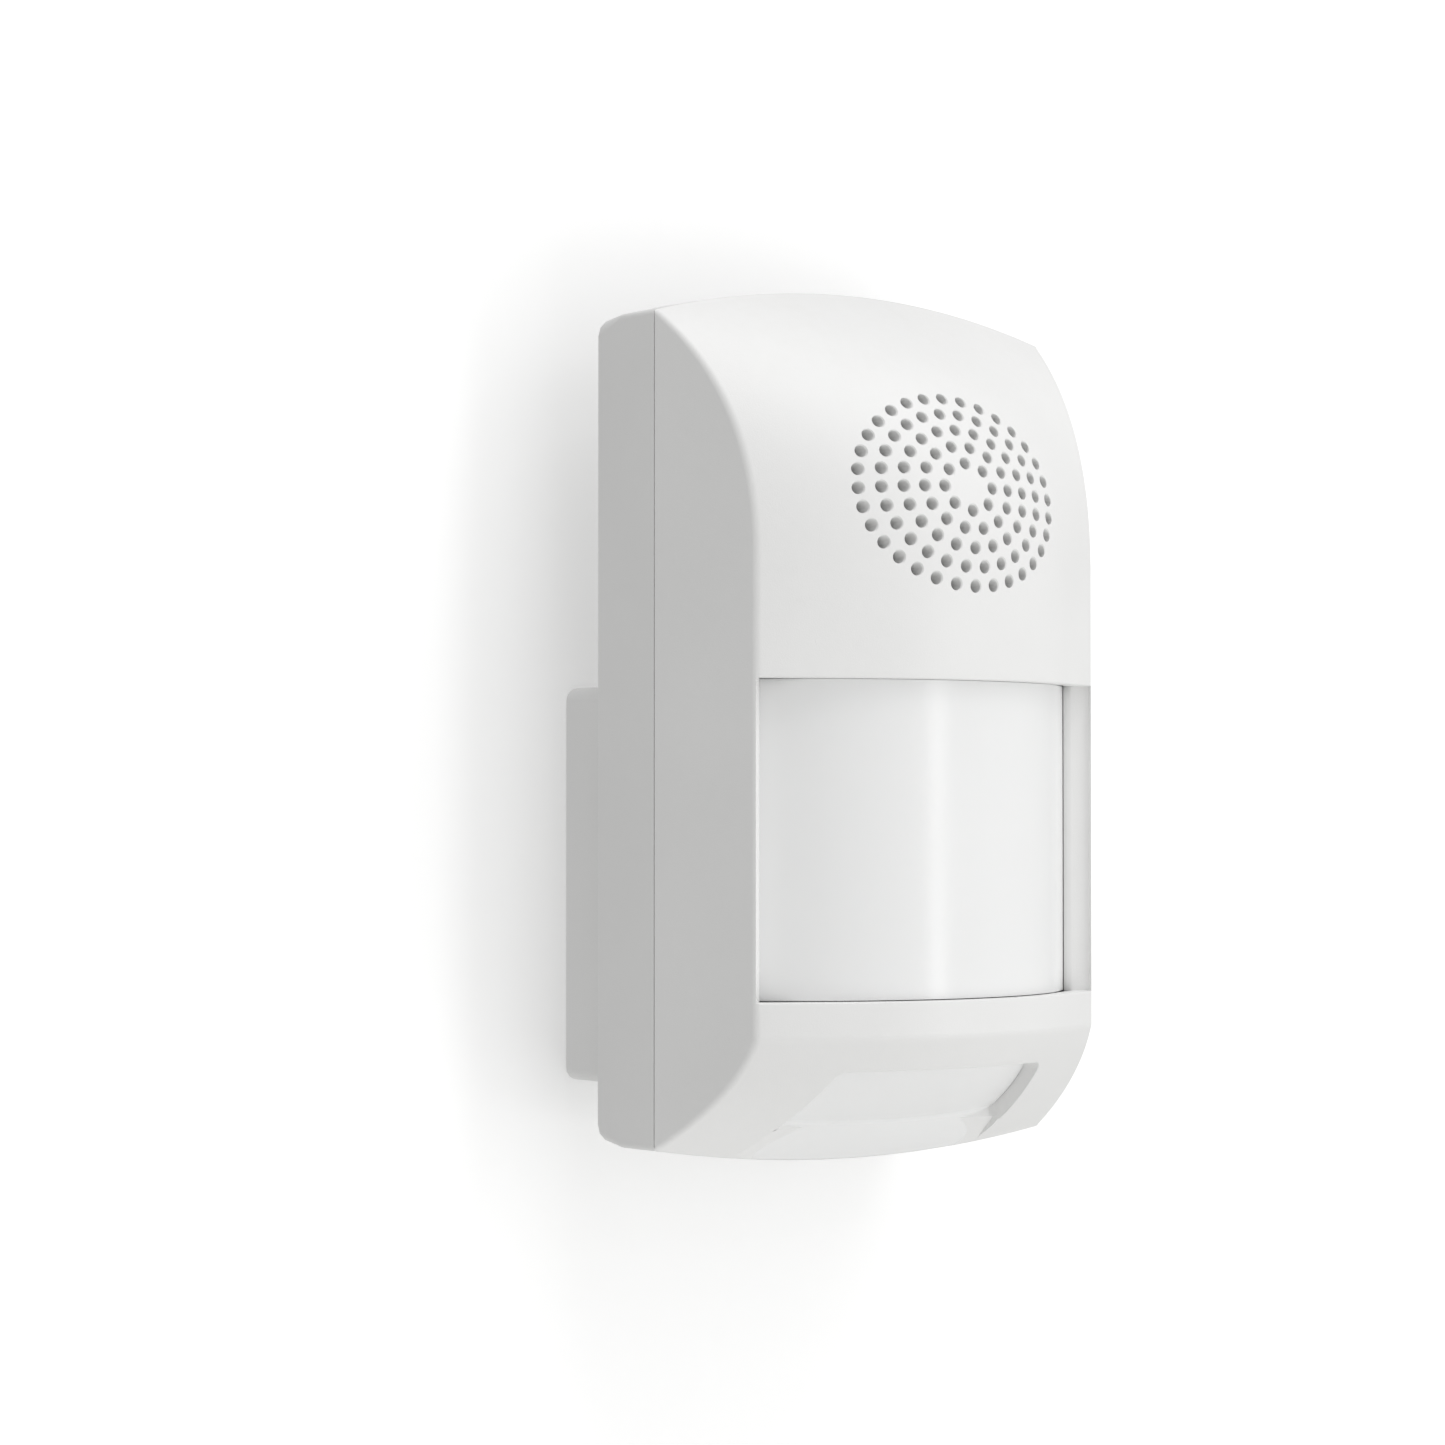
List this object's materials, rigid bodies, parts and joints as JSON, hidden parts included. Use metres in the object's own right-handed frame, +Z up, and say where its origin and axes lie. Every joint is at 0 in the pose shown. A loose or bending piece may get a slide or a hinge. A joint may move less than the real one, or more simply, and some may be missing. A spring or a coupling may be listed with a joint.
{
  "type": "wall motion sensor",
  "caption": "Wall-mounted infrared motion sensor with a round speaker grille, a curved main lens, a look-down lens in the chin and a lift-off wall bracket.",
  "frame": {"origin": "middle of the wall bracket's back face, on the wall", "axes": "+Z up, +X to the right as seen from the room, -Y out of the wall towards the room"},
  "size_m": [0.062, 0.0444, 0.1072],
  "materials": {
    "white_plastic": "fine satin moulded ABS",
    "milky_lens": "smooth milky polyethylene",
    "board_green": "solder mask over glass fibre",
    "black_plastic": "fine moulded",
    "black_rubber": "matt",
    "black_fabric": "woven dust mesh",
    "grey_paper": "pressed pulp",
    "black_foam": "closed-cell foam",
    "steel": "bright zinc",
    "tinned_steel": "dull tin plate",
    "nickel": "nickel plated magnet",
    "phosphor_bronze": "drawn wire",
    "dark_glass": "infrared filter",
    "cell_sleeve": "printed shrink sleeve",
    "capacitor_sleeve": "shrink sleeve",
    "light_green": "clear tinted epoxy",
    "cream_plastic": "fine moulded",
    "blue_plastic": "fine moulded"
  },
  "bodies": {
    "bracket": {"wall_bracket": "white_plastic"},
    "housing": {"rear_housing": "white_plastic", "circuit_board": "board_green", "board_screw_1": "steel", "board_screw_2": "steel", "sensor_can": "steel", "sensor_window": "dark_glass", "sensor_collar": "black_foam", "controller_chip": "black_plastic", "radio_chip": "black_plastic", "radio_shield": "tinned_steel", "crystal": "steel", "capacitor_1": "capacitor_sleeve", "capacitor_2": "capacitor_sleeve", "antenna_coil": "phosphor_bronze", "status_light": "light_green", "tamper_switch": "black_plastic", "learn_button_base": "black_plastic", "power_switch_body": "tinned_steel", "jumper_header": "black_plastic", "jumper_cap": "blue_plastic", "battery_tray": "black_plastic", "battery_1": "cell_sleeve", "battery_2": "cell_sleeve", "battery_spring_1": "steel", "battery_spring_2": "steel", "battery_contact_1": "tinned_steel", "battery_contact_2": "tinned_steel", "speaker_contact_spring_1": "phosphor_bronze", "speaker_contact_spring_2": "phosphor_bronze"},
    "cover": {"front_cover": "white_plastic", "fresnel_lens": "milky_lens", "lens_retainer": "white_plastic", "creep_lens": "milky_lens", "creep_lens_retainer": "white_plastic", "speaker_frame": "tinned_steel", "speaker_surround": "black_rubber", "speaker_cone": "grey_paper", "speaker_dust_cap": "grey_paper", "speaker_magnet": "nickel", "speaker_yoke": "tinned_steel", "grille_mesh": "black_fabric", "speaker_ring": "white_plastic", "ring_screw_1": "steel", "ring_screw_2": "steel", "ring_screw_3": "steel", "speaker_terminal_board": "board_green"},
    "tamper_plunger": {"tamper_plunger": "cream_plastic"},
    "learn_button": {"learn_button_cap": "cream_plastic"},
    "power_slider": {"power_switch_slider": "black_plastic"},
    "case_screw": {"case_screw": "steel"}
  },
  "joints": [
    {"name": "housing_lift", "type": "slide", "parent": "bracket", "child": "housing", "axis": [0, 0, 1], "range_m": [0, 0.0085]},
    {"name": "cover_hinge", "type": "hinge", "parent": "housing", "child": "cover", "pos_m": [0, -0.0215, 0.0732], "axis": [-1, 0, 0], "range_deg": [0, 60]},
    {"name": "tamper_press", "type": "slide", "parent": "housing", "child": "tamper_plunger", "axis": [0, 1, 0], "range_m": [0, 0.0015], "stiffness_N_per_m": 300, "springref_m": -0.001},
    {"name": "learn_press", "type": "slide", "parent": "housing", "child": "learn_button", "axis": [0, 1, 0], "range_m": [0, 0.0005], "stiffness_N_per_m": 600, "springref_m": -0.0005},
    {"name": "power_slide", "type": "slide", "parent": "housing", "child": "power_slider", "axis": [1, 0, 0], "range_m": [0, 0.003]},
    {"name": "case_screw_out", "type": "slide", "parent": "housing", "child": "case_screw", "axis": [0, 0, -1], "range_m": [0, 0.006]}
  ]
}
